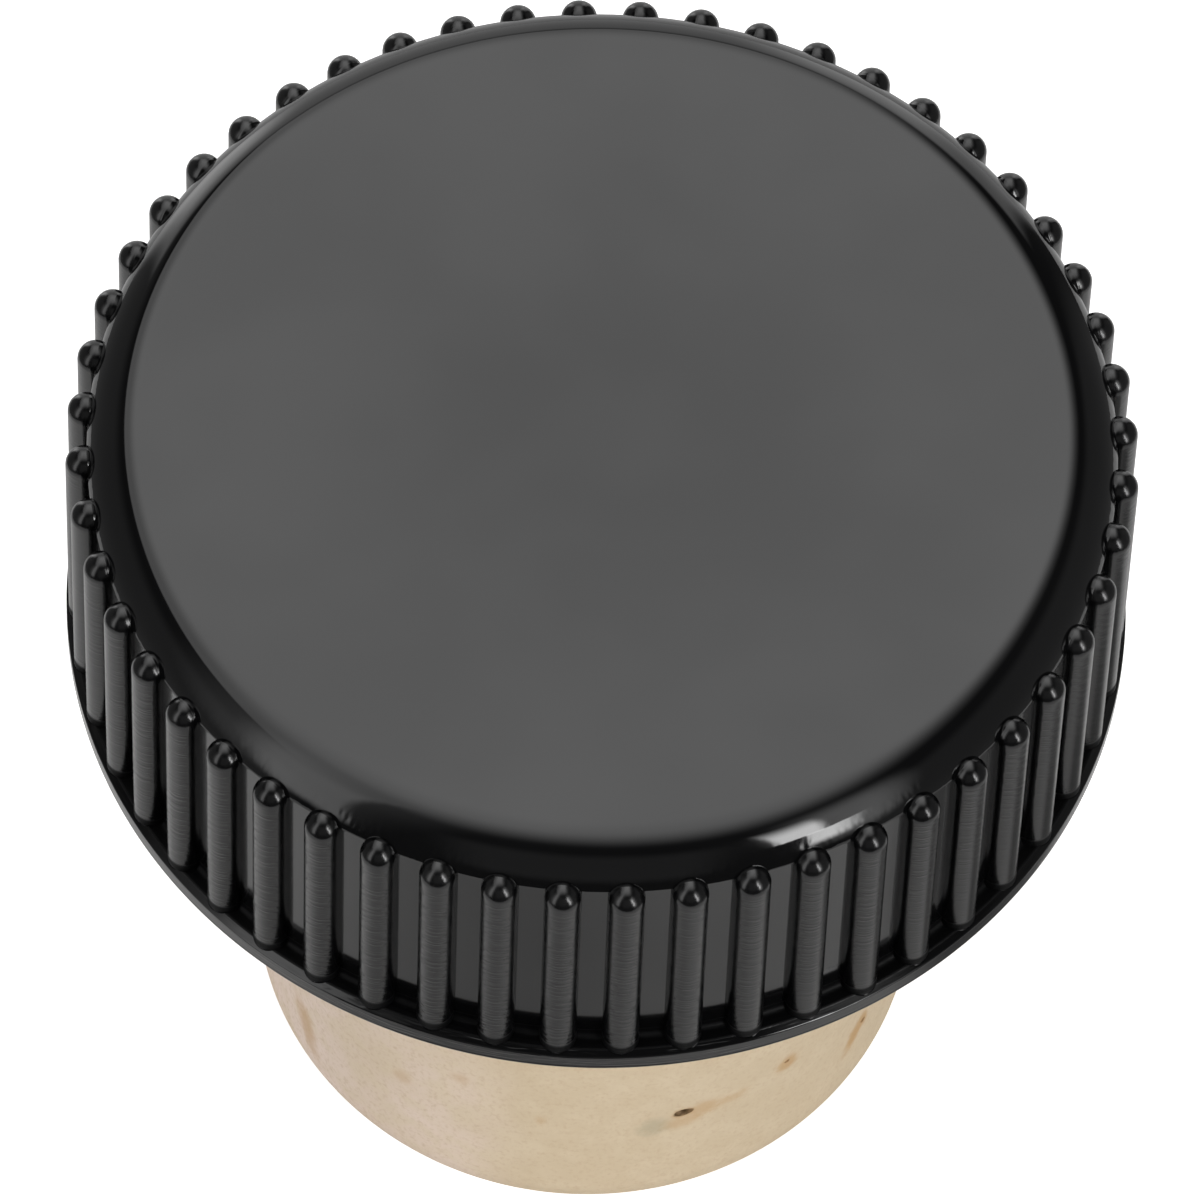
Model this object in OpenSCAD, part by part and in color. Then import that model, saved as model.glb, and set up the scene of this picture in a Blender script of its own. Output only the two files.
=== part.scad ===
// Bottle stopper: a ribbed black cap moulded in one piece, with a plug of natural cork glued
// into the socket under it. It stands on the cork's free end, and +Z runs up through the cap.

/* [Cork shank] */
// Diameter of the cork
shank_d = 18.7; // [14:0.1:20]
// Length of cork below the cap
shank_l = 17.2; // [12:0.1:26]
// Height of the eased edge at the free end
ease_h = 1.3; // [0.6:0.1:3]
// How far the eased edge comes in at the end face
ease_w = 0.4; // [0.1:0.05:1]
// How much the socket squeezes the cork, on the radius
squeeze = 0.2; // [0.2:0.05:0.4]

/* [Cap] */
// Diameter of the side wall between the ribs
wall_d = 27.74; // [26.5:0.02:32]
// Height from the flange's underside to the flat top
cap_h = 9.57; // [8:0.01:14]
// Width of the round shoulder between the flat top and the side wall
shoulder_w = 1.5; // [0.8:0.05:2.5]
// Height of the round shoulder
shoulder_h = 1.1; // [0.4:0.05:1.4]
// Thickness of the plastic over the socket
crown_t = 2.8; // [2.2:0.1:4]
// Thickness of the skirt outside the cored groove
skirt_wall = 1.6; // [1.2:0.1:2]
// Thickness of the ring that holds the cork
socket_wall = 1.5; // [1:0.1:1.8]
// Glue gap round the cork
glue_gap = 0.05; // [0.02:0.01:0.1]
// Bevel at the socket's mouth
mouth_bevel = 0.3; // [0.1:0.05:0.5]

/* [Flange] */
// How far the flange stands out from the side wall
flange_w = 0.66; // [0.64:0.01:1.5]
// Thickness of the flange
flange_t = 0.8; // [0.5:0.05:1.2]
// Width of the chamfer on the flange's upper rim edge
chamfer_w = 0.24; // [0.1:0.01:0.3]
// Height of that chamfer
chamfer_h = 0.13; // [0.05:0.01:0.2]
// Rounding of the flange's lower rim edge
rim_r = 0.2; // [0.1:0.01:0.25]
// Radius of the hollow corner between the side wall and the flange
corner_r = 0.16; // [0.1:0.01:0.4]

/* [Ribs] */
// Number of ribs round the cap
rib_count = 52; // [36:1:60]
// Width of a rib, and of the dome that ends it
rib_d = 1; // [0.6:0.02:1.1]
// How far a dome stands out from the side wall
rib_out = 0.58; // [0.4:0.01:0.6]
// Depth of the domes' centres below the flat top
dome_drop = 1.3; // [1:0.05:2.5]
// Lean of the ribs, outwards at the foot, so that the mould draws off upwards
rib_draft = 0.1; // [0:0.05:0.4]

/* [Hidden] */

$fn = 180;
rib_fn = 48;

shank_r = shank_d / 2;
seat_r = shank_r - squeeze;
wall_r = wall_d / 2;
flange_r = wall_r + flange_w;
rib_r = rib_d / 2;

socket_r = seat_r + glue_gap;
socket_h = cap_h - crown_t;
groove_in_r = socket_r + socket_wall;
groove_out_r = wall_r - skirt_wall;
groove_end_r = (groove_out_r - groove_in_r) / 2;

dome_ring_r = wall_r + rib_out - rib_r;
dome_z = cap_h - dome_drop;
rib_foot_z = flange_t / 2;
rib_l = (dome_z - rib_foot_z) / cos(rib_draft);

// Radius of the arc that leaves a line along it and is off the line by w after length h
function arc_r(w, h) = (h * h + w * w) / (2 * w);

// Half section of the cork: a straight shank with an arc that eases its lower edge, then the
// slightly narrower stretch that is squeezed into the socket and meets its floor
module shank_section() {
    ease_r = arc_r(ease_w, ease_h);
    square([shank_r - ease_r, shank_l]);
    translate([0, ease_h]) square([shank_r, shank_l - ease_h]);
    translate([0, ease_h]) square([seat_r, shank_l + socket_h - ease_h]);
    intersection() {
        translate([shank_r - ease_r, ease_h]) circle(ease_r);
        square([shank_r, ease_h]);
    }
}

module cork_shank() {
    color("burlywood") rotate_extrude() shank_section();
}

// Half section of the plain body. The shoulder's arc leaves the flat top along it, and meets
// the side wall at a slight edge where the ribs end.
module body_section() {
    shoulder_r = arc_r(shoulder_h, shoulder_w);
    square([wall_r - shoulder_w, cap_h]);
    square([wall_r, cap_h - shoulder_h]);
    intersection() {
        translate([wall_r - shoulder_w, cap_h - shoulder_r]) circle(shoulder_r);
        translate([0, cap_h - shoulder_h]) square([wall_r, shoulder_h]);
    }
}

// Half section of the flange, with a chamfer on its upper rim edge and a rounding on its lower one
module flange_section() {
    rim_in = flange_r - rim_r;
    square([rim_in, rim_r]);
    translate([rim_in, rim_r]) circle(rim_r);
    polygon([
        [0, rim_r],
        [flange_r, rim_r],
        [flange_r, flange_t - chamfer_h],
        [flange_r - chamfer_w, flange_t],
        [0, flange_t]
    ]);
}

// Half section of the hollow corner between the side wall and the flange
module corner_section() {
    difference() {
        translate([wall_r - corner_r, flange_t / 2]) square([2 * corner_r, corner_r + flange_t / 2]);
        translate([wall_r + corner_r, flange_t + corner_r]) circle(corner_r);
    }
}

// Half section of the socket for the cork, with a bevelled mouth
module socket_section() {
    square([socket_r, socket_h]);
    polygon([[0, 0], [socket_r + mouth_bevel, 0], [socket_r, mouth_bevel], [0, mouth_bevel]]);
}

// Half section of the cored groove, which keeps the walls even: a slot with a round end
module groove_section() {
    translate([groove_in_r, 0]) square([2 * groove_end_r, socket_h - groove_end_r]);
    translate([groove_in_r + groove_end_r, socket_h - groove_end_r]) circle(groove_end_r);
}

module cap_section() {
    difference() {
        union() {
            body_section();
            flange_section();
            corner_section();
        }
        socket_section();
        groove_section();
    }
}

// Half section of a rib about its own axis: a rod whose top is a dome
module rib_section() {
    translate([0, -rib_l]) square([rib_r, rib_l]);
    intersection() {
        circle(rib_r, $fn = rib_fn);
        square(rib_r);
    }
}

module rib() {
    translate([dome_ring_r, 0, dome_z]) rotate([0, -rib_draft, 0])
        rotate_extrude($fn = rib_fn) rib_section();
}

module cap() {
    color("dimgray") translate([0, 0, shank_l]) {
        rotate_extrude() cap_section();
        for (i = [0 : rib_count - 1]) rotate(i * 360 / rib_count) rib();
    }
}

cap();
cork_shank();
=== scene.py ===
"""Dresses a bottle stopper and sets it in a plain white studio.

The stopper is a ribbed black cap, moulded in one piece, over a plug of natural cork. The two
pieces are drawn in millimetres and turned into metres when they are finished.
"""

import logging
import math
import random
from dataclasses import dataclass, field
from enum import Enum
from typing import Any

import bpy
from mathutils import Matrix, Vector, noise


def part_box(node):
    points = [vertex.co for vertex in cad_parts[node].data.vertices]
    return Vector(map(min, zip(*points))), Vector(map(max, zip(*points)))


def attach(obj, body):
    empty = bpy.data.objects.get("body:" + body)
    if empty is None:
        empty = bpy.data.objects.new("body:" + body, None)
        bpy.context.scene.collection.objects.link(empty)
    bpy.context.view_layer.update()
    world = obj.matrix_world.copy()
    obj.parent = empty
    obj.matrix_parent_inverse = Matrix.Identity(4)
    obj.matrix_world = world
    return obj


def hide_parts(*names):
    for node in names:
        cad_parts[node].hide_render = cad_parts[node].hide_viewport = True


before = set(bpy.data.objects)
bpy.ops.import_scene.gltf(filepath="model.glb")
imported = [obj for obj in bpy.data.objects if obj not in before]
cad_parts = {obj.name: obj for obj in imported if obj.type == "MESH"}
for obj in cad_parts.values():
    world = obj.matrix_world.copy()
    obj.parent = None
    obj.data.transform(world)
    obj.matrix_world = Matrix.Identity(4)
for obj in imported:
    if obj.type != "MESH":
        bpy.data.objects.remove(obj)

LOG = logging.getLogger("stopper")
MM = 0.001
FULL_TURN = 2 * math.pi

Point = tuple[float, float]
Colour = tuple[float, float, float, float]


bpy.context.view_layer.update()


class Bench:
    """The edit-mode steps that the pieces share. Lengths are in millimetres."""

    MERGE = 1e-4

    @staticmethod
    def clear() -> None:
        """Leaves edit mode and deselects everything."""
        if bpy.context.object and bpy.context.object.mode != "OBJECT":
            bpy.ops.object.mode_set(mode="OBJECT")
        bpy.ops.object.select_all(action="DESELECT")

    @staticmethod
    def pick(piece: bpy.types.Object) -> None:
        """Makes one piece the only selected and active one."""
        Bench.clear()
        piece.select_set(True)
        bpy.context.view_layer.objects.active = piece

    @staticmethod
    def close_skin(piece: bpy.types.Object) -> None:
        """Merges doubled points and turns all faces outwards."""
        Bench.pick(piece)
        bpy.ops.object.mode_set(mode="EDIT")
        bpy.ops.mesh.select_all(action="SELECT")
        bpy.ops.mesh.remove_doubles(threshold=Bench.MERGE)
        bpy.ops.mesh.normals_make_consistent(inside=False)
        bpy.ops.object.mode_set(mode="OBJECT")

    @staticmethod
    def turn(name: str, outline: list[Point], steps: int) -> bpy.types.Object:
        """Draws a half section point by point and spins it round the Z axis.

        Args:
            name: The new piece's name.
            outline: Radius and height of each point, starting and ending on the axis.
            steps: Number of steps in the full turn.

        Returns:
            The turned piece, closed, with its faces outwards.
        """
        Bench.clear()
        start = Vector((outline[0][0], 0.0, outline[0][1]))
        bpy.ops.mesh.primitive_plane_add(size=1.0, location=start)
        piece = bpy.context.object
        piece.name = name
        bpy.ops.object.transform_apply(location=True, rotation=True, scale=True)
        bpy.ops.object.mode_set(mode="EDIT")
        bpy.ops.mesh.select_all(action="SELECT")
        bpy.ops.mesh.merge(type="CENTER")
        for (r0, z0), (r1, z1) in zip(outline, outline[1:]):
            step = (r1 - r0, 0.0, z1 - z0)
            bpy.ops.mesh.extrude_region_move(TRANSFORM_OT_translate={"value": step})
        bpy.ops.mesh.select_all(action="SELECT")
        bpy.ops.mesh.spin(steps=steps, angle=FULL_TURN, center=(0, 0, 0), axis=(0, 0, 1))
        bpy.ops.object.mode_set(mode="OBJECT")
        Bench.close_skin(piece)
        return piece

    @staticmethod
    def settle(piece: bpy.types.Object) -> None:
        """Writes a piece's place, turn and size into its mesh."""
        Bench.pick(piece)
        bpy.ops.object.transform_apply(location=True, rotation=True, scale=True)

    @staticmethod
    def copy_round(piece: bpy.types.Object, angle: float) -> bpy.types.Object:
        """Copies a piece, with its own mesh, and turns the copy round the Z axis."""
        Bench.pick(piece)
        bpy.ops.object.duplicate()
        twin = bpy.context.object
        twin.rotation_euler.z = angle
        Bench.settle(twin)
        return twin

    @staticmethod
    def join(pieces: list[bpy.types.Object], name: str) -> bpy.types.Object:
        """Joins pieces into one object.

        Args:
            pieces: The pieces, of which the first takes the others in.
            name: The joined object's name.

        Returns:
            The joined object.
        """
        Bench.pick(pieces[0])
        for piece in pieces[1:]:
            piece.select_set(True)
        bpy.ops.object.join()
        pieces[0].name = name
        return pieces[0]

    @staticmethod
    def cut_or_add(
        piece: bpy.types.Object, tool: bpy.types.Object, operation: str
    ) -> None:
        """Adds a tool's solid to a piece or cuts it away, and deletes the tool.

        Args:
            piece: The piece that changes.
            tool: The solid to add or to cut away.
            operation: UNION or DIFFERENCE.
        """
        Bench.pick(piece)
        step = piece.modifiers.new("solid_step", "BOOLEAN")
        step.operation = operation
        step.solver = "EXACT"
        step.object = tool
        bpy.ops.object.modifier_apply(modifier=step.name)
        bpy.data.objects.remove(tool)

    @staticmethod
    def finish(piece: bpy.types.Object, crease: float) -> None:
        """Smooths a piece up to a crease angle and turns its millimetres into metres.

        The normals lean to the larger faces, so that flat stretches stay flat up to their edges.

        Args:
            piece: The piece, drawn in millimetres.
            crease: Angle in degrees past which an edge stays sharp.
        """
        Bench.pick(piece)
        bpy.ops.object.shade_smooth_by_angle(angle=math.radians(crease))
        step = piece.modifiers.new("flat_stretches", "WEIGHTED_NORMAL")
        step.keep_sharp = True
        bpy.ops.object.modifier_apply(modifier=step.name)
        piece.scale = (MM, MM, MM)
        Bench.settle(piece)


def arc(centre: Point, radius: float, start: float, end: float, steps: int) -> list[Point]:
    """Lists points along an arc.

    Args:
        centre: Centre of the arc.
        radius: Radius of the arc.
        start: Angle of the first point, in degrees.
        end: Angle of the last point, in degrees.
        steps: Number of steps between them.

    Returns:
        The points, both ends among them.
    """
    angles = [math.radians(start + (end - start) * i / steps) for i in range(steps + 1)]
    return [(centre[0] + radius * math.cos(t), centre[1] + radius * math.sin(t)) for t in angles]


def rounded(before: Point, corner: Point, after: Point, radius: float, steps: int = 4) -> list[Point]:
    """Lists the points of the arc that rounds a corner of an outline.

    Args:
        before: The outline's point before the corner.
        corner: The corner itself.
        after: The outline's point after it.
        radius: Radius of the rounding.
        steps: Number of steps along the arc.

    Returns:
        The points of the arc, both ends among them.
    """
    tip = Vector(corner)
    back, ahead = (Vector(before) - tip).normalized(), (Vector(after) - tip).normalized()
    half = back.angle(ahead) / 2
    centre = tip + (back + ahead).normalized() * radius / math.sin(half)
    first = tip + back * radius / math.tan(half) - centre
    last = tip + ahead * radius / math.tan(half) - centre
    sweep = math.atan2(first.x * last.y - first.y * last.x, first.dot(last))
    start = math.atan2(first.y, first.x)
    angles = [start + sweep * i / steps for i in range(steps + 1)]
    return [(centre.x + radius * math.cos(t), centre.y + radius * math.sin(t)) for t in angles]


def arc_radius(off: float, length: float) -> float:
    """Radius of the arc that leaves a line along it and is off it after a length."""
    return (off * off + length * length) / (2 * off)


class NodeBoard:
    """A node tree that is being wired up."""

    def __init__(self, tree: bpy.types.NodeTree) -> None:
        """Empties the tree and keeps it."""
        self.tree = tree
        tree.nodes.clear()

    def add(
        self, kind: str, inputs: dict | None = None, **settings: Any
    ) -> bpy.types.Node:
        """Adds a node, sets its choices and fills or links its inputs.

        Args:
            kind: The node's type, without the words ShaderNode.
            inputs: Values or sockets by input name or number.
            settings: The node's own choices.

        Returns:
            The new node.
        """
        node = self.tree.nodes.new("ShaderNode" + kind)
        for name, value in settings.items():
            setattr(node, name, value)
        for key, value in (inputs or {}).items():
            if isinstance(value, bpy.types.NodeSocket):
                self.tree.links.new(value, node.inputs[key])
            else:
                node.inputs[key].default_value = value
        return node

    def math(self, operation: str, *values: Any, clamp: bool = False) -> bpy.types.NodeSocket:
        """Adds a Math node and returns its result."""
        inputs = dict(enumerate(values))
        return self.add("Math", inputs, operation=operation, use_clamp=clamp).outputs[0]

    def vector(self, operation: str, *values: Any, output: int = 0) -> bpy.types.NodeSocket:
        """Adds a Vector Math node and returns one of its results."""
        return self.add("VectorMath", dict(enumerate(values)), operation=operation).outputs[output]

    def noise(self, place: Any, scale: float, detail: float, rough: float) -> bpy.types.NodeSocket:
        """Adds a noise pattern and returns its value.

        Args:
            place: The coordinates that the pattern follows.
            scale: Patterns in each metre.
            detail: Octaves of finer pattern.
            rough: Strength of the finer pattern, from 0 to 1.

        Returns:
            The pattern's value, around 0.5.
        """
        inputs = {"Vector": place, "Scale": scale, "Detail": detail, "Roughness": rough}
        return self.add("TexNoise", inputs).outputs[0]

    def spread(
        self, value: Any, low: float, high: float, start: float, end: float
    ) -> bpy.types.NodeSocket:
        """Maps a value from one range to another, smoothly and held at the ends."""
        inputs = {0: value, 1: low, 2: high, 3: start, 4: end}
        return self.add("MapRange", inputs, interpolation_type="SMOOTHSTEP").outputs[0]

    def mix(self, share: Any, first: Any, second: Any) -> bpy.types.NodeSocket:
        """Mixes two colours and returns the mixed one."""
        node = self.add("Mix", {0: share, 6: first, 7: second}, data_type="RGBA")
        return node.outputs[2]


@dataclass(frozen=True)
class MouldedPlastic:
    """Black gloss plastic as it leaves the mould."""

    black: Colour = (0.0016, 0.0016, 0.0018, 1.0)
    bloom: Colour = (0.0024, 0.0024, 0.0026, 1.0)
    roughness: float = 0.06
    roughness_spread: float = 0.03
    ior: float = 1.5
    marks_depth: float = 0.0065
    chatter_depth: float = 0.006
    skin_depth: float = 0.0005
    hollow_dull: float = 0.4
    rib_dull: float = 0.14

    def make(
        self,
        name: str,
        wall_r: float,
        dome_z: float,
        shoulder_z: float,
        hollow_z: float,
        rim_z: float,
    ) -> bpy.types.Material:
        """Builds the material. All places are in millimetres.

        Args:
            name: The material's name.
            wall_r: Radius of the side wall, past which the surface belongs to a rib.
            dome_z: Height of the domes' centres, above which ribs are smooth.
            shoulder_z: Height where the shoulder begins.
            hollow_z: Height of the flange's upper face, over which the hollow is left dull and its
                reflection is dimmed as painted shade.
            rim_z: Height at which the rounding of the flange's lower edge ends; below it the reflection is
                dimmed as a painted shade line.

        Returns:
            The new material.
        """
        material = bpy.data.materials.new(name)
        material.use_nodes = True
        board = NodeBoard(material.node_tree)
        place = board.add("TexCoord").outputs["Object"]
        parts = board.add("SeparateXYZ", {0: place})
        flat = board.add("CombineXYZ", {0: parts.outputs[0], 1: parts.outputs[1]}).outputs[0]
        radius = board.vector("LENGTH", flat, output=1)

        cloud = board.noise(place, 160.0, 2.0, 0.5)
        fine = board.noise(place, 2400.0, 1.0, 0.6)
        colour = board.mix(board.spread(cloud, 0.35, 0.7, 0.0, 1.0), self.black, self.bloom)
        half = self.roughness_spread / 2
        z = parts.outputs[2]
        over_flange = self.band(board, z, hollow_z - 0.04, hollow_z - 0.01)
        low = self.band(board, z, hollow_z + 0.4, hollow_z + 0.2)
        in_hollow = board.math("MULTIPLY", over_flange, low)
        gloss = board.spread(cloud, 0.3, 0.75, self.roughness - half, self.roughness + half)
        rough = board.math("MULTIPLY_ADD", in_hollow, self.hollow_dull, gloss)
        outside = self.band(board, radius, wall_r - 0.02, wall_r + 0.04)
        over_rim = self.band(board, z, hollow_z + 0.05, hollow_z + 0.1)
        on_any_rib = board.math("MULTIPLY", outside, over_rim)
        rough = board.math("MULTIPLY_ADD", on_any_rib, self.rib_dull, rough)
        # Painted reflection: the reflection is weaker towards the middle of the top and stronger towards the
        # wall; the cloud adds a random film.
        painted_dim_middle = board.spread(radius, 0.0, wall_r * MM, -0.035, 0.03)
        film_and_painted_dim_middle = board.math("ADD", board.spread(cloud, 0.3, 0.72, 0.475, 0.52), painted_dim_middle)
        # Painted shade: the reflection in the hollow over the flange is dimmed, where the ribs shade it.
        reflection_and_painted_shade = board.math("MULTIPLY", film_and_painted_dim_middle, board.spread(in_hollow, 0.0, 1.0, 1.0, 0.22))
        # Painted shade: a dark line under the flange, made by dimming the reflection of the rim's lower
        # rounding.
        painted_shade_under_rim = board.math("MULTIPLY", outside, self.band(board, z, rim_z + 0.1, rim_z))
        reflection_and_painted_shade = board.math("MULTIPLY", reflection_and_painted_shade, board.spread(painted_shade_under_rim, 0.0, 1.0, 1.0, 0.15))
        stretched = board.vector("MULTIPLY", place, (0.07, 0.07, 1.0))
        marks = board.noise(stretched, 9000.0, 2.0, 0.7)
        cut = board.math("ADD", marks, board.spread(marks, 0.48, 0.66, 0.0, 0.5))
        worn = board.spread(board.noise(place, 90.0, 0.0, 0.5), 0.38, 0.62, 0.35, 1.0)
        on_rib = self.band(board, radius, wall_r + 0.2, wall_r + 0.3)
        below_dome = self.band(board, z, dome_z, dome_z - 0.15)
        marks_height = board.math(
            "MULTIPLY", cut, board.math("MULTIPLY", worn, board.math("MULTIPLY", on_rib, below_dome))
        )
        drawn = board.vector("MULTIPLY", place, (1.0, 1.0, 0.3))
        chatter = board.noise(drawn, 3400.0, 1.0, 0.6)
        low_shoulder = board.math(
            "MULTIPLY",
            self.band(board, z, shoulder_z - 0.05, shoulder_z + 0.05),
            self.band(board, z, shoulder_z + 0.75, shoulder_z + 0.25),
        )
        inside = self.band(board, radius, wall_r + 0.05, wall_r)
        chatter_height = board.math("MULTIPLY", chatter, board.math("MULTIPLY", low_shoulder, inside))
        grit = board.math("MULTIPLY", board.noise(place, 7000.0, 1.0, 0.6), in_hollow)
        height = board.math("MULTIPLY", fine, self.skin_depth)
        height = board.math("MULTIPLY_ADD", marks_height, self.marks_depth, height)
        rough_spots = board.math("ADD", chatter_height, grit)
        height = board.math("MULTIPLY_ADD", rough_spots, self.chatter_depth, height)
        bump = board.add("Bump", {"Strength": 1.0, "Distance": MM, "Height": height})
        shader = board.add(
            "BsdfPrincipled",
            {
                "Base Color": colour,
                "Roughness": rough,
                "IOR": self.ior,
                "Specular IOR Level": reflection_and_painted_shade,
                "Normal": bump.outputs[0],
            },
        )
        board.add("OutputMaterial", {"Surface": shader.outputs[0]})
        return material

    @staticmethod
    def band(board: NodeBoard, value: Any, off: float, on: float) -> bpy.types.NodeSocket:
        """Rises from 0 to 1 as a place, in millimetres, goes from off to on."""
        if off < on:
            return board.spread(value, off * MM, on * MM, 0.0, 1.0)
        return board.spread(value, on * MM, off * MM, 1.0, 0.0)


@dataclass(frozen=True)
class NaturalCork:
    """Pale natural cork, cut and sanded."""

    body: Colour = (0.65, 0.525, 0.362, 1.0)
    pale: Colour = (0.71, 0.59, 0.425, 1.0)
    # Painted light: the lighter, pinker tone of the cork's side on the camera's left, where the left lamp
    # falls.
    painted_lit_side: Colour = (0.80, 0.655, 0.56, 1.0)
    grain: Colour = (0.56, 0.41, 0.26, 1.0)
    rust: Colour = (0.54, 0.34, 0.165, 1.0)
    moss: Colour = (0.40, 0.345, 0.23, 1.0)
    pit: Colour = (0.085, 0.05, 0.022, 1.0)
    roughness: float = 0.62
    ior: float = 1.4

    def make(self, name: str, stains: list["Stain"], radius: float) -> bpy.types.Material:
        """Builds the material.

        Args:
            name: The material's name.
            stains: The smudges, in the order in which they lie on each other.
            radius: The cork's radius, in millimetres.

        Returns:
            The new material.
        """
        material = bpy.data.materials.new(name)
        material.use_nodes = True
        board = NodeBoard(material.node_tree)
        place = board.add("TexCoord").outputs["Object"]
        across = board.add("SeparateXYZ", {0: place}).outputs[0]
        broad = board.noise(place, 110.0, 3.0, 0.55)
        mottle = board.noise(place, 1100.0, 4.0, 0.6)
        cells = board.noise(place, 6800.0, 2.0, 0.6)
        along = board.vector("MULTIPLY", place, (1.0, 1.0, 0.25))
        streak = board.noise(along, 2400.0, 3.0, 0.6)
        torn = board.math("SUBTRACT", board.noise(place, 2600.0, 3.0, 0.6), 0.5)

        # Painted light: the side on the camera's left is painted lighter and pinker, fading over a ragged
        # border.
        side = board.math("MULTIPLY_ADD", board.math("SUBTRACT", broad, 0.5), 18.0 * MM, across)
        tone = board.mix(board.spread(side, -7.5 * MM, -1.0 * MM, 1.0, 0.0), self.body, self.painted_lit_side)
        tone = board.mix(board.spread(mottle, 0.38, 0.68, 0.0, 0.6), tone, self.pale)
        tone = board.mix(board.spread(streak, 0.58, 0.82, 0.0, 0.2), tone, self.grain)
        tone = board.mix(board.spread(cells, 0.45, 0.8, 0.0, 0.5), tone, self.grain)
        for stain in stains:
            tone = stain.lay(board, place, tone, torn, radius)

        height = board.math("ADD", board.math("MULTIPLY", mottle, 0.5), cells)
        bump = board.add("Bump", {"Strength": 0.35, "Distance": 0.03 * MM, "Height": height})
        rough = board.spread(mottle, 0.3, 0.7, self.roughness - 0.06, self.roughness + 0.08)
        shader = board.add(
            "BsdfPrincipled",
            {
                "Base Color": tone,
                "Roughness": rough,
                "IOR": self.ior,
                "Normal": bump.outputs[0],
            },
        )
        board.add("OutputMaterial", {"Surface": shader.outputs[0]})
        return material


@dataclass(frozen=True)
class Stain:
    """A smudge on the cork's side, with a soft uneven edge. Lengths are in millimetres."""

    turn: float
    height: float
    width: float
    tall: float
    colour: Colour
    strength: float
    lean: float = 0.0
    core: float = 0.2
    ragged: float = 0.8

    def lay(
        self, board: NodeBoard, place: Any, under: Any, torn: Any, radius: float
    ) -> bpy.types.NodeSocket:
        """Adds the smudge over a colour.

        Args:
            board: The material's node board.
            place: The object coordinates, in metres.
            under: The colour below the smudge.
            torn: A fine pattern around 0 that tears its edge.
            radius: The cork's radius, in millimetres.

        Returns:
            The colour with the smudge on it.
        """
        turn = math.radians(self.turn)
        centre = (radius * math.cos(turn) * MM, radius * math.sin(turn) * MM, self.height * MM)
        local = board.add(
            "Mapping",
            {
                "Vector": place,
                "Location": centre,
                "Rotation": (math.radians(self.lean), 0.0, turn),
                "Scale": (1.5 * MM, self.width / 2 * MM, self.tall / 2 * MM),
            },
            vector_type="TEXTURE",
        ).outputs[0]
        reach = board.vector("LENGTH", local, output=1)
        edge = board.math("MULTIPLY_ADD", torn, self.ragged, reach)
        share = board.spread(edge, self.core, 1.0, self.strength, 0.0)
        return board.mix(share, under, self.colour)


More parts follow.
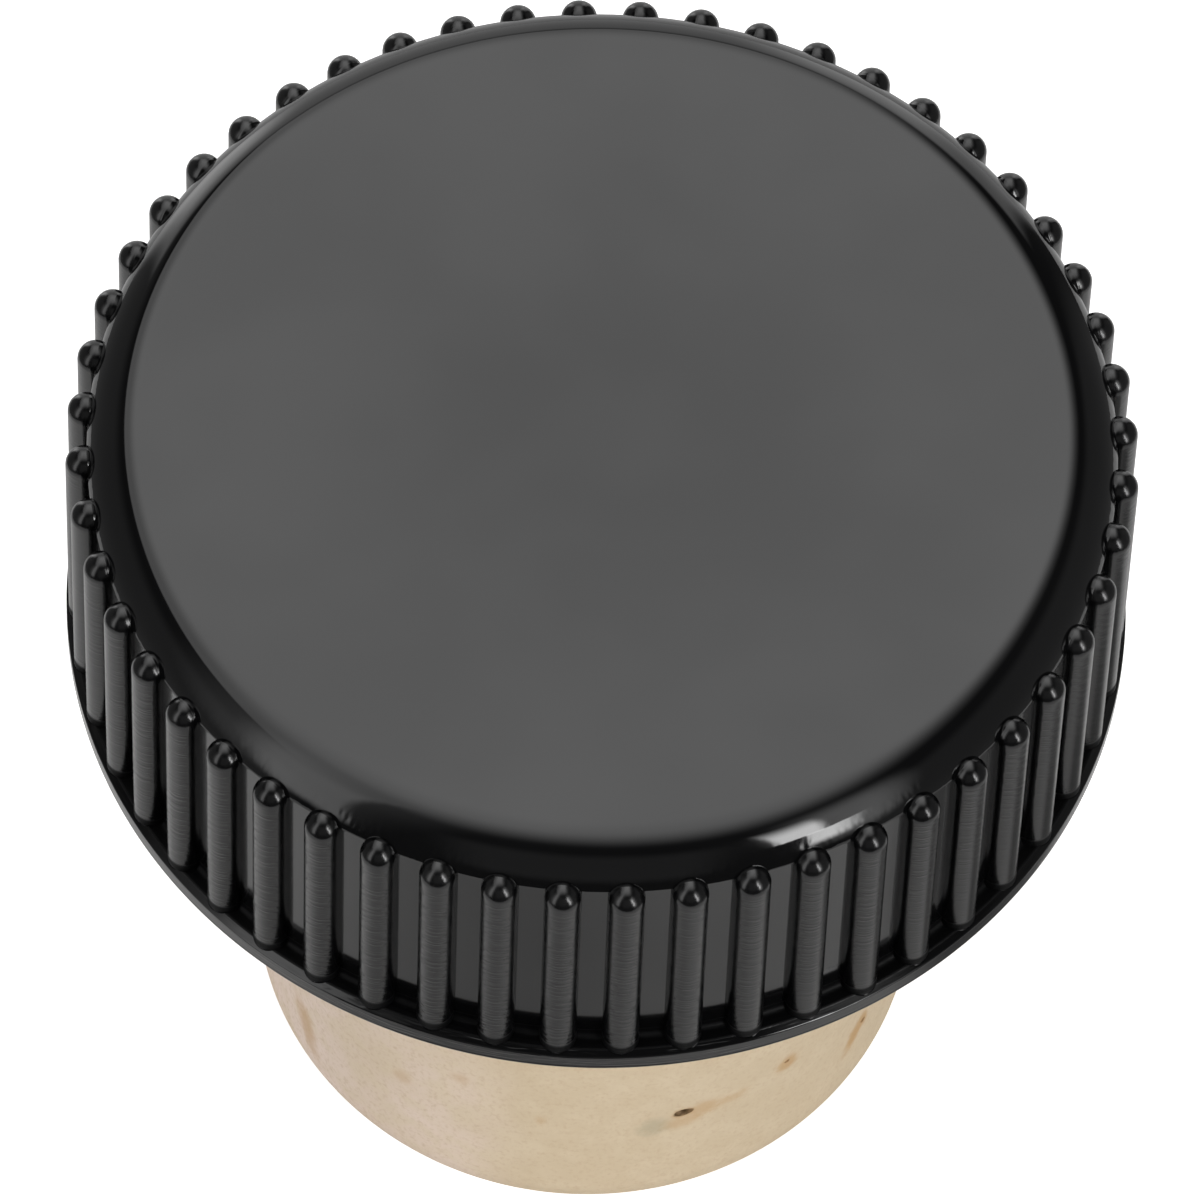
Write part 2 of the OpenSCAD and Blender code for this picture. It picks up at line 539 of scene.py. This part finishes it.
@dataclass
class Cap:
    """The black moulding: body, flange, ribs, socket and cored groove."""

    seat_z: float
    top_z: float
    socket_z: float
    finish: MouldedPlastic = field(default_factory=MouldedPlastic)
    wall_r: float = 13.87
    shoulder_w: float = 1.5
    shoulder_h: float = 1.1
    flange_w: float = 0.66
    flange_t: float = 0.8
    chamfer_w: float = 0.24
    chamfer_h: float = 0.13
    rim_r: float = 0.2
    corner_r: float = 0.16
    eased_r: float = 0.06
    skirt_wall: float = 1.6
    socket_r: float = 9.2
    socket_wall: float = 1.5
    mouth_bevel: float = 0.3
    rib_count: int = 52
    rib_r: float = 0.5
    rib_out: float = 0.58
    dome_drop: float = 1.3
    rib_draft: float = 0.1
    steps_per_rib: int = 8
    rib_steps: int = 32

    def outline(self) -> list[Point]:
        """Half section of the cap without its ribs, from the socket's floor to the top."""
        seat, top = self.seat_z, self.top_z
        groove_in = self.socket_r + self.socket_wall
        groove_out = self.wall_r - self.skirt_wall
        end_r = (groove_out - groove_in) / 2
        flange_r = self.wall_r + self.flange_w
        flange_top = seat + self.flange_t
        shoulder_r = arc_radius(self.shoulder_h, self.shoulder_w)
        reach = math.degrees(math.asin(self.shoulder_w / shoulder_r))
        points = [(0.0, self.socket_z), (self.socket_r, self.socket_z)]
        points += [(self.socket_r, seat + self.mouth_bevel), (self.socket_r + self.mouth_bevel, seat)]
        points += [(groove_in, seat)]
        points += arc((groove_in + end_r, self.socket_z - end_r), end_r, 180, 0, 12)
        points += [(groove_out, seat)]
        flat_r = self.wall_r - self.shoulder_w
        shoulder = arc((flat_r, top - shoulder_r), shoulder_r, 90 - reach, 90, 24)
        corners = [
            (groove_out, seat),
            (flange_r, seat),
            (flange_r, flange_top - self.chamfer_h),
            (flange_r - self.chamfer_w, flange_top),
            (self.wall_r, flange_top),
            shoulder[0],
            shoulder[1],
        ]
        radii = (self.rim_r, self.eased_r, self.eased_r, self.corner_r, self.eased_r)
        for i, radius in enumerate(radii, start=1):
            points += rounded(corners[i - 1], corners[i], corners[i + 1], radius)
        points += shoulder[1:]
        points += [(flat_r * 0.6, top), (flat_r * 0.2, top), (0.0, top)]
        return points

    def rib(self) -> bpy.types.Object:
        """Turns one rib, with its dome, and leans it into its place on the +X side."""
        length = self.top_z - self.dome_drop - self.seat_z - self.flange_t / 2
        dome = arc((0.0, 0.0), self.rib_r, 90, 0, 9)
        rows = 6
        side = [(self.rib_r, -length * i / rows) for i in range(1, rows + 1)]
        rib = Bench.turn("rib", dome + side + [(0.0, -length)], self.rib_steps)
        rib.rotation_euler.y = -math.radians(self.rib_draft)
        rib.location = (self.wall_r + self.rib_out - self.rib_r, 0.0, self.top_z - self.dome_drop)
        Bench.settle(rib)
        return rib

    def build(self) -> bpy.types.Object:
        """Turns the body, adds the ribs to it and gives it its finish."""
        body = Bench.turn("cap_moulding", self.outline(), self.rib_count * self.steps_per_rib)
        first = self.rib()
        ribs = [first]
        for i in range(1, self.rib_count):
            ribs.append(Bench.copy_round(first, FULL_TURN * i / self.rib_count))
        Bench.cut_or_add(body, Bench.join(ribs, "ribs"), "UNION")
        Bench.finish(body, 32.0)
        material = self.finish.make(
            "black_gloss_plastic",
            wall_r=self.wall_r,
            dome_z=self.top_z - self.dome_drop,
            shoulder_z=self.top_z - self.shoulder_h,
            hollow_z=self.seat_z + self.flange_t,
            rim_z=self.seat_z + self.rim_r,
        )
        body.data.materials.clear()
        body.data.materials.append(material)
        return body


@dataclass(frozen=True)
class Pore:
    """A pit in the cork's side."""

    turn: float
    height: float
    width: float
    tall: float
    deep: float
    lean: float = 0.0


@dataclass
class Cork:
    """The plug of natural cork, with its pores."""

    top_z: float
    seat_z: float
    finish: NaturalCork = field(default_factory=NaturalCork)
    shank_r: float = 9.35
    seat_r: float = 9.15
    ease_h: float = 1.3
    ease_w: float = 0.4
    steps: int = 288
    rows: int = 16
    seed: int = 7
    scattered: int = 34
    shown: tuple[Pore, ...] = (
        Pore(-68.9, 4.82, 0.58, 0.34, 0.30, 6.0),
        Pore(-29.0, 3.42, 0.20, 0.18, 0.10, 0.0),
        Pore(-48.9, 5.20, 0.16, 0.12, 0.06, 0.0),
    )

    def outline(self) -> list[Point]:
        """Half section of the plug, from the middle of its free end to its glued end."""
        ease_r = arc_radius(self.ease_w, self.ease_h)
        reach = math.degrees(math.asin(self.ease_h / ease_r))
        end_r = self.shank_r - self.ease_w
        points = [(end_r * i / 12, 0.0) for i in range(12)]
        points += arc((self.shank_r - ease_r, self.ease_h), ease_r, -reach, 0, 10)
        span = self.seat_z - self.ease_h
        points += [(self.shank_r, self.ease_h + span * i / self.rows) for i in range(1, self.rows + 1)]
        points += [(self.seat_r, self.seat_z), (self.seat_r, self.top_z), (0.0, self.top_z)]
        return points

    def pit(self, pore: Pore, number: int) -> bpy.types.Object:
        """Makes the ragged lump that cuts a pore.

        Args:
            pore: The pore's place and size.
            number: The pore's number, which sets how its edge is torn.

        Returns:
            The lump, in its place on the cork's side.
        """
        Bench.clear()
        bpy.ops.mesh.primitive_ico_sphere_add(subdivisions=3, radius=1.0)
        lump = bpy.context.object
        bpy.ops.object.mode_set(mode="EDIT")
        bpy.ops.transform.resize(value=(pore.deep, pore.width / 2, pore.tall / 2))
        bpy.ops.object.mode_set(mode="OBJECT")
        size = min(pore.width, pore.tall) / 2
        for point in lump.data.vertices:
            drift = noise.noise_vector(point.co / size + Vector((number * 7.3, 0.0, 0.0)))
            point.co += drift * size * 0.4
        turn = math.radians(pore.turn)
        lump.location = (self.shank_r * math.cos(turn), self.shank_r * math.sin(turn), pore.height)
        lump.rotation_euler = (math.radians(pore.lean), 0.0, turn)
        Bench.settle(lump)
        return lump

    def pores(self) -> list[Pore]:
        """Lists the pores that show and the ones scattered over the rest of the side."""
        draw = random.Random(self.seed)
        pores = list(self.shown)
        while len(pores) < len(self.shown) + self.scattered:
            wide = draw.uniform(0.18, 0.7)
            pore = Pore(
                turn=draw.uniform(-20.0, 200.0),
                height=draw.uniform(1.8, self.seat_z - 0.8),
                width=wide,
                tall=wide * draw.uniform(0.35, 0.8),
                deep=draw.uniform(0.15, 0.4),
                lean=draw.uniform(-30.0, 30.0),
            )
            if all(self.apart(pore, other) > 1.6 for other in pores):
                pores.append(pore)
        return pores

    def apart(self, pore: Pore, other: Pore) -> float:
        """How far apart two pores are, round the side and along it."""
        around = math.radians(pore.turn - other.turn) * self.shank_r
        return math.hypot(around, pore.height - other.height)

    def build(self) -> bpy.types.Object:
        """Turns the plug, roughens its skin, cuts its pores and gives it its finish."""
        noise.seed_set(self.seed)
        plug = Bench.turn("cork_plug", self.outline(), self.steps)
        lumps = [self.pit(pore, number) for number, pore in enumerate(self.pores())]
        Bench.cut_or_add(plug, Bench.join(lumps, "pits"), "DIFFERENCE")
        Bench.finish(plug, 50.0)
        plug.data.materials.clear()
        material = self.finish.make("natural_cork", self.stains(), self.shank_r)
        plug.data.materials.append(material)
        return plug

    def stains(self) -> list[Stain]:
        """Smudges beside the pores that show, then the brown of the pores themselves."""
        rust, moss, pit = self.finish.rust, self.finish.moss, self.finish.pit
        return [
            Stain(-73.9, 4.35, 1.4, 1.4, moss, 0.55, 30.0),
            Stain(-69.3, 4.3, 1.6, 1.0, rust, 0.50),
            Stain(-65.3, 4.75, 1.8, 1.0, rust, 0.62, 6.0),
            Stain(-60.0, 4.75, 1.6, 0.7, rust, 0.40, 10.0),
            Stain(-48.9, 5.10, 1.1, 1.1, rust, 0.85, 30.0),
            Stain(-31.5, 3.2, 0.9, 2.1, rust, 0.95, -35.0),
            Stain(-29.0, 3.45, 0.8, 1.0, rust, 1.0),
            Stain(-143.0, 2.6, 1.2, 3.2, rust, 0.65, 20.0),
            Stain(-119.2, 4.65, 0.9, 1.0, rust, 0.38),
            Stain(-108.0, 6.10, 0.8, 0.8, rust, 0.38),
            Stain(-93.6, 4.85, 0.5, 0.7, rust, 0.38),
            Stain(-68.9, 4.82, 0.95, 0.62, rust, 0.95, 6.0, 0.35, 0.6),
            Stain(-68.9, 4.82, 0.68, 0.42, pit, 1.0, 6.0, 0.6, 0.5),
            Stain(-29.0, 3.42, 0.28, 0.24, pit, 0.55, 0.0, 0.3, 0.4),
            Stain(-48.9, 5.20, 0.24, 0.16, pit, 0.40, 0.0, 0.3, 0.4),
        ]


@dataclass(frozen=True)
class Viewpoint:
    """The camera: where it stands and how it is framed, for a square picture."""

    side: float = -87.7371
    height: float = 58.7555
    roll: float = -2.3653
    distance: float = 335.29
    pixels_per_mm: float = 37.2884
    aim_x: float = 603.589
    aim_y: float = 423.418
    picture: float = 1200.0
    sensor: float = 36.0

    def axes(self) -> tuple[Vector, Vector, Vector]:
        """Right, up and back of the camera."""
        azimuth, tilt = math.radians(self.side), math.radians(self.height)
        ground = math.cos(tilt)
        back = Vector((ground * math.cos(azimuth), ground * math.sin(azimuth), math.sin(tilt)))
        right = Vector((-math.sin(azimuth), math.cos(azimuth), 0.0))
        up = back.cross(right)
        c, s = math.cos(math.radians(self.roll)), math.sin(math.radians(self.roll))
        return c * right - s * up, s * right + c * up, back

    def build(self, aim: Vector) -> bpy.types.Object:
        """Places the camera.

        Args:
            aim: The point, in millimetres, that shows at aim_x and aim_y.

        Returns:
            The camera.
        """
        right, up, back = self.axes()
        middle = self.picture / 2
        across = (self.aim_x - middle) / self.pixels_per_mm
        down = (self.aim_y - middle) / self.pixels_per_mm
        place = aim - across * right + down * up + self.distance * back
        lens = bpy.data.cameras.new("camera")
        lens.sensor_width = self.sensor
        lens.lens = self.pixels_per_mm * self.distance / self.picture * self.sensor
        lens.clip_start = 0.01
        camera = bpy.data.objects.new("camera", lens)
        turn = Matrix((right, up, back)).transposed().to_4x4()
        camera.matrix_world = Matrix.Translation(place * MM) @ turn
        bpy.context.scene.collection.objects.link(camera)
        bpy.context.scene.camera = camera
        return camera


class Shows(Enum):
    """Whether a lamp is seen in glossy surfaces or only lights them."""

    MIRRORED = True
    LIGHT_ONLY = False


def bearing_frame(view_side: float, bearing: float, height: float) -> tuple[Vector, Vector, Vector]:
    """Directions at a place in the room, as seen from the stopper.

    Args:
        view_side: The camera's azimuth, in degrees.
        bearing: Degrees from the camera's side, counted to the right.
        height: Degrees above the level of the stopper.

    Returns:
        The way to that place, the way to its right and the way up.
    """
    azimuth, tilt = math.radians(view_side + bearing), math.radians(height)
    ground = math.cos(tilt)
    away = Vector((ground * math.cos(azimuth), ground * math.sin(azimuth), math.sin(tilt)))
    right = Vector((-math.sin(azimuth), math.cos(azimuth), 0.0))
    return away, right, away.cross(right)


@dataclass(frozen=True)
class Glow:
    """A soft-edged panel or card of the studio, as seen from the stopper.

    Its bounds are tangents of the angles to its edges, across and upwards, counted from the
    way that it is looked at. Each pair of sides fades over a share of the panel's half size.
    The right and the upper side may fade over another share.
    """

    name: str
    bearing: float
    height: float
    across: tuple[float, float]
    tall: tuple[float, float]
    strength: float
    fade: tuple[float, float] = (0.25, 0.25)
    lean: float = 0.0
    far_fade: tuple[float, float] | None = None

    def lay(self, board: NodeBoard, way: Any, view_side: float) -> bpy.types.NodeSocket:
        """Adds the panel's light in each direction. Ways well off it are passed over early.

        Args:
            board: The world's node board.
            way: The direction that is looked in.
            view_side: The camera's azimuth, in degrees.

        Returns:
            The panel's shader.
        """
        away, right, up = bearing_frame(view_side, self.bearing, self.height)
        c, s = math.cos(math.radians(self.lean)), math.sin(math.radians(self.lean))
        right, up = c * right + s * up, c * up - s * right
        ahead = board.vector("DOT_PRODUCT", way, away, output=1)
        depth = board.math("MAXIMUM", ahead, 0.001)
        light: Any = self.strength
        widest = 0.0
        fades = zip(self.fade, self.far_fade or self.fade)
        for axis, (low, high), (near, far) in zip((right, up), (self.across, self.tall), fades):
            reach = board.math("DIVIDE", board.vector("DOT_PRODUCT", way, axis, output=1), depth)
            half = (high - low) / 2
            off = board.math("SUBTRACT", reach, (low + high) / 2)
            if near == far:
                off = board.math("ABSOLUTE", off)
            else:
                edge = board.spread(off, -half * (1.0 + near), -half * (1.0 - near), 0.0, 1.0)
                light = board.math("MULTIPLY", edge, light)
            edge = board.spread(off, half * (1.0 - far), half * (1.0 + far), 1.0, 0.0)
            light = board.math("MULTIPLY", edge, light)
            widest += max(abs(low) + half * near, abs(high) + half * far) ** 2
        white = (1.0, 1.0, 1.0, 1.0)
        panel = board.add("Background", {"Color": white, "Strength": light}).outputs[0]
        near_it = board.math("GREATER_THAN", ahead, 1.0 / math.sqrt(1.0 + widest))
        return board.add("MixShader", {0: near_it, 2: panel}).outputs[0]


@dataclass(frozen=True)
class Panel:
    """A flat soft lamp, placed as seen from the stopper.

    The bearing is counted from the camera's side, to the right.
    """

    name: str
    bearing: float
    height: float
    distance: float
    width: float
    tall: float
    watts: float
    shows: Shows = Shows.LIGHT_ONLY

    def build(self, view_side: float, target: Vector) -> bpy.types.Object:
        """Hangs the lamp and turns it to the target.

        Args:
            view_side: The camera's azimuth, in degrees.
            target: The point that the lamp faces, in metres.

        Returns:
            The lamp.
        """
        away = bearing_frame(view_side, self.bearing, self.height)[0]
        light = bpy.data.lights.new(self.name, "AREA")
        light.shape = "RECTANGLE"
        light.size, light.size_y = self.width, self.tall
        light.energy = self.watts
        lamp = bpy.data.objects.new(self.name, light)
        lamp.location = target + away * self.distance
        lamp.rotation_euler = away.to_track_quat("Z", "Y").to_euler()
        lamp.visible_glossy = self.shows.value
        lamp.visible_camera = False
        bpy.context.scene.collection.objects.link(lamp)
        return lamp


@dataclass(frozen=True)
class Shade:
    """A painted shadow on the sheet: a soft dark place which the cap's side mirrors. Lengths are in
    millimetres.
    """

    bearing: float
    distance: float
    core: float
    reach: float
    strength: float

    def lay(self, board: NodeBoard, place: Any, light: Any, view_side: float) -> Any:
        """Paints the shadow: takes its share from the sheet's light.

        Args:
            board: The sheet's node board.
            place: The object coordinates, in metres.
            light: The light so far, from 0 to 1.
            view_side: The camera's azimuth, in degrees.

        Returns:
            The light that is left.
        """
        centre = bearing_frame(view_side, self.bearing, 0.0)[0] * self.distance * MM
        off = board.vector("DISTANCE", place, centre, output=1)
        left = board.spread(off, self.core * MM, self.reach * MM, 1.0 - self.strength, 1.0)
        return board.math("MULTIPLY", light, left)


@dataclass
class Studio:
    """Floor, lamps and surroundings."""

    view: Viewpoint
    target: Vector
    sheet_front: float = 0.055
    sheet_back: float = 0.30
    sheet_side: float = 0.055
    sheet_white: float = 0.75
    sheet_lift: float = 0.72
    dim: float = 0.05
    glows: tuple[Glow, ...] = (
        Glow(
            "overhead", 0.0, 90.0, (-0.76, 0.42), (-0.15, 1.90), 1.25, (0.05, 0.28), 0.0, (0.42, 0.05)
        ),
        Glow("overhead_middle", 0.0, 90.0, (-0.42, 0.30), (0.0, 1.20), 1.0, (0.5, 0.9)),
        Glow("rear", 184.0, 0.0, (-0.68, 0.68), (-0.55, 0.48), 0.85, (0.08, 0.15)),
        Glow("rear_left_edge", 209.0, -2.0, (-0.10, 0.10), (-0.25, 0.30), 1.2, (0.6, 0.6)),
        Glow("rear_right_edge", 165.0, 4.0, (-0.10, 0.10), (-0.30, 0.35), 0.7, (0.6, 0.6)),
        Glow(
            "strip_right", 39.8, 35.0, (-0.072, 0.072), (-0.22, 0.16), 11.0, (0.12, 0.1), -4.0, (0.25, 1.0)
        ),
        Glow(
            "strip_right_foot", 43.0, 12.0, (-0.07, 0.07), (-0.19, 0.19), 10.5, (0.12, 0.7), -5.0, (1.0, 0.1)
        ),
        Glow("card_right", 50.5, 24.0, (-0.13, 0.13), (-0.60, 0.55), 1.5, (0.7, 0.5), -6.0),
        Glow(
            "card_left", -53.5, 24.0, (-0.17, 0.15), (-0.62, 0.75), 1.35, (0.6, 0.3), 9.0, (0.15, 0.7)
        ),
        Glow("card_left_far", -61.0, 32.0, (-0.26, 0.26), (-0.75, 0.75), 0.5, (0.9, 0.6), 9.0),
        Glow("front_wall", 0.0, 18.0, (-0.40, 0.40), (-0.34, 0.62), 0.14, (0.3, 0.4)),
        Glow("left_wall", -105.0, 0.0, (-1.2, 1.2), (-0.9, 0.7), 0.14, (0.2, 0.3)),
        Glow("right_wall", 95.0, 0.0, (-1.0, 1.0), (-0.9, 0.9), 0.14, (0.2, 0.3)),
    )
    panels: tuple[Panel, ...] = (
        Panel("fill_left", -43.0, 12.0, 0.45, 0.40, 0.20, 0.445),
        Panel("fill_right", 46.0, 12.0, 0.45, 0.40, 0.20, 0.33),
    )

    # Painted shadows on the sheet, seen by every ray but the camera's.
    painted_shadows: tuple[Shade, ...] = (
        Shade(72.0, 24.2, 4.0, 10.5, 0.74),
        Shade(-17.0, 27.2, 3.0, 18.0, 0.27),
        Shade(180.0, 33.0, 8.0, 24.0, 0.58),
    )

    def floor(self) -> bpy.types.Object:
        """Lays the white sheet that the stopper stands on."""
        Bench.clear()
        bpy.ops.mesh.primitive_plane_add(size=2.0)
        floor = bpy.context.object
        floor.name = "floor"
        half = (self.sheet_back + self.sheet_front) / 2
        floor.location = (0.0, half - self.sheet_front, 0.0)
        floor.scale = (self.sheet_side, half, 1.0)
        Bench.settle(floor)
        material = bpy.data.materials.new("white_sheet")
        material.use_nodes = True
        board = NodeBoard(material.node_tree)
        white = (self.sheet_white, self.sheet_white, self.sheet_white, 1.0)
        place = board.add("TexCoord").outputs["Object"]
        seen = board.add("LightPath").outputs["Is Camera Ray"]
        # Painted shadows: the sheet is darkened in soft places for every ray but the camera's, which sees it
        # white.
        light: Any = 1.0
        for shade in self.painted_shadows:
            light = shade.lay(board, place, light, self.view.side)
        colour = board.mix(board.math("MAXIMUM", light, seen), (0.0, 0.0, 0.0, 1.0), white)
        sheet = board.add("BsdfDiffuse", {"Color": colour}).outputs[0]
        lift = board.math("MULTIPLY", seen, self.sheet_lift)
        glow = board.add("Emission", {"Color": (1.0, 1.0, 1.0, 1.0), "Strength": lift}).outputs[0]
        both = board.add("AddShader", {0: sheet, 1: glow}).outputs[0]
        board.add("OutputMaterial", {"Surface": both})
        floor.data.materials.append(material)
        return floor

    def surroundings(self) -> None:
        """White behind the stopper for the camera, and the studio's panels for all else."""
        world = bpy.data.worlds.new("room")
        world.use_nodes = True
        bpy.context.scene.world = world
        board = NodeBoard(world.node_tree)
        way = board.add("TexCoord").outputs["Generated"]
        white = (1.0, 1.0, 1.0, 1.0)
        room = board.add("Background", {"Color": white, "Strength": self.dim}).outputs[0]
        for glow in self.glows:
            panel = glow.lay(board, way, self.view.side)
            room = board.add("AddShader", {0: room, 1: panel}).outputs[0]
        ray = board.add("LightPath").outputs["Is Camera Ray"]
        backdrop = board.add("Background", {"Color": white, "Strength": 1.0}).outputs[0]
        both = board.add("MixShader", {0: ray, 1: room, 2: backdrop}).outputs[0]
        board.add("OutputWorld", {"Surface": both})

    def build(self) -> None:
        """Sets the whole studio up."""
        self.floor()
        self.surroundings()
        for panel in self.panels:
            panel.build(self.view.side, self.target)
            LOG.info("lamp %s", panel.name)


def main() -> None:
    """Builds the pieces in order, then the camera and the studio."""
    logging.basicConfig(level=logging.INFO, format="%(name)s: %(message)s")
    cap_low, cap_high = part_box("cap")
    cork_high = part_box("cork_shank")[1]

    cap = Cap(seat_z=cap_low.z / MM, top_z=cap_high.z / MM, socket_z=cork_high.z / MM)
    moulding = cap.build()
    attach(moulding, "root")
    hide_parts("cap")
    LOG.info("%s: %d faces", moulding.name, len(moulding.data.polygons))

    cork = Cork(top_z=cork_high.z / MM, seat_z=cap.seat_z)
    plug = cork.build()
    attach(plug, "root")
    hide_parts("cork_shank")
    LOG.info("%s: %d faces", plug.name, len(plug.data.polygons))

    view = Viewpoint()
    view.build(Vector((0.0, 0.0, cap.top_z)))
    Studio(view, Vector((0.0, 0.0, cap.top_z * MM))).build()

    bpy.context.scene.view_settings.view_transform = "Standard"


if __name__ == "__main__":
    main()
